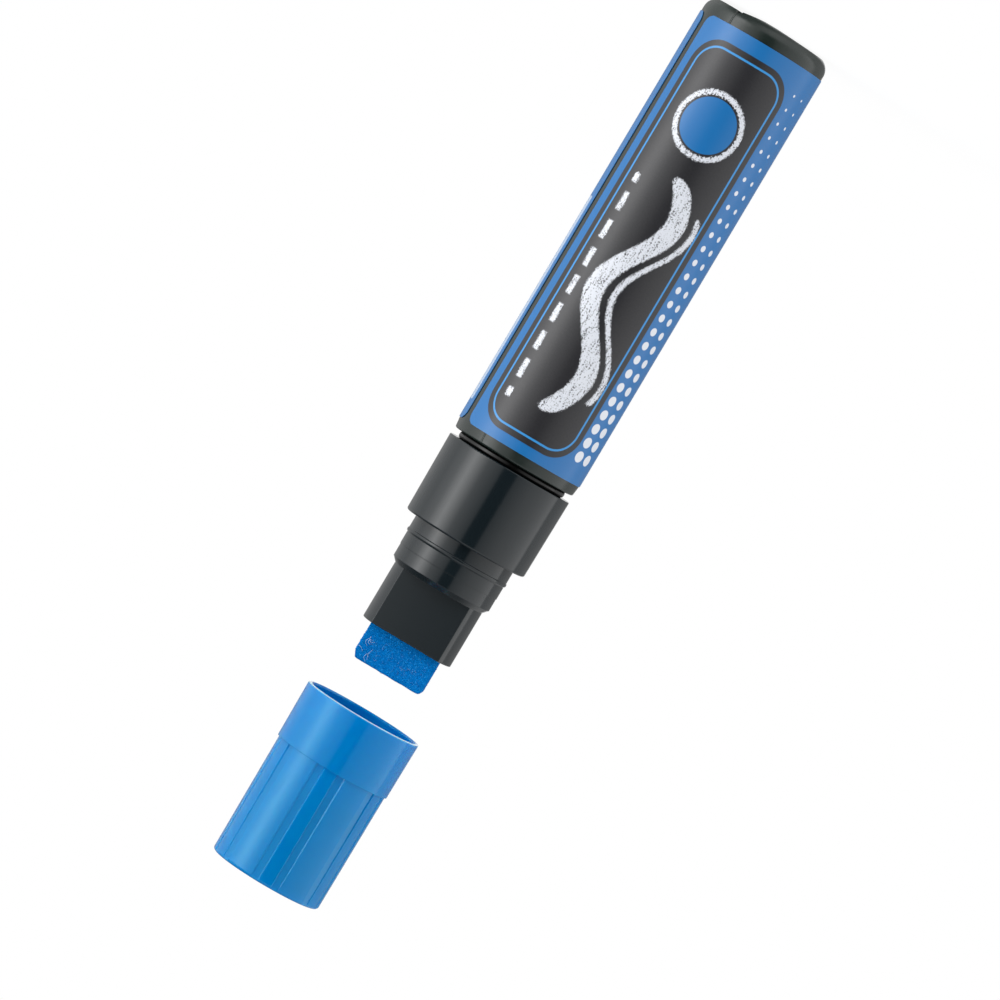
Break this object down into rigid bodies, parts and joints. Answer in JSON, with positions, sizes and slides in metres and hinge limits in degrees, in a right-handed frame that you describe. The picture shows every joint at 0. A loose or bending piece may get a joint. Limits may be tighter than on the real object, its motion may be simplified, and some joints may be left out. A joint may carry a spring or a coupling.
{
  "type": "liquid chalk marker",
  "caption": "Liquid chalk marker with a wide flat felt nib, a sprung valve behind it and a grooved pull-off cap, with the cap drawn off.",
  "frame": {"origin": "middle of the flat tail of the barrel", "axes": "+Z along the axis from tail to nib, the wide faces of the nib look along -Y and +Y"},
  "size_m": [0.0262, 0.0262, 0.1857],
  "materials": {
    "dark_polypropylene": "moulded, satin",
    "printed_film": "printed film, satin",
    "black_rubber": "smooth",
    "natural_plastic": "moulded, natural",
    "spring_steel": "drawn wire",
    "blue_felt": "needled felt, soaked with blue ink",
    "ball_steel": "polished",
    "blue_plastic": "moulded, satin gloss",
    "blue_liner": "moulded"
  },
  "bodies": {
    "marker": {"barrel": "dark_polypropylene", "label_wrap": "printed_film", "neck_seal_ring": "black_rubber", "nib_holder": "dark_polypropylene", "valve_body": "natural_plastic", "spring_retainer": "natural_plastic", "valve_spring": "spring_steel"},
    "writing_tip": {"nib": "blue_felt", "nib_carrier": "natural_plastic", "valve_stem": "natural_plastic", "valve_gasket": "black_rubber"},
    "ball": {"mixing_ball": "ball_steel"},
    "cap": {"cap_shell": "blue_plastic", "cap_inner_seal": "blue_liner"}
  },
  "joints": [
    {"name": "cap_pull", "type": "slide", "parent": "marker", "child": "cap", "axis": [0, 0, 1], "range_m": [-0.037, 0]},
    {"name": "nib_press", "type": "slide", "parent": "marker", "child": "writing_tip", "axis": [0, 0, -1], "range_m": [0, 0.0025], "stiffness_N_per_m": 400, "springref_m": -0.004, "deforming": ["valve_spring"]},
    {"name": "ball_shake", "type": "slide", "parent": "marker", "child": "ball", "axis": [0, 0, 1], "range_m": [0, 0.0816]}
  ]
}
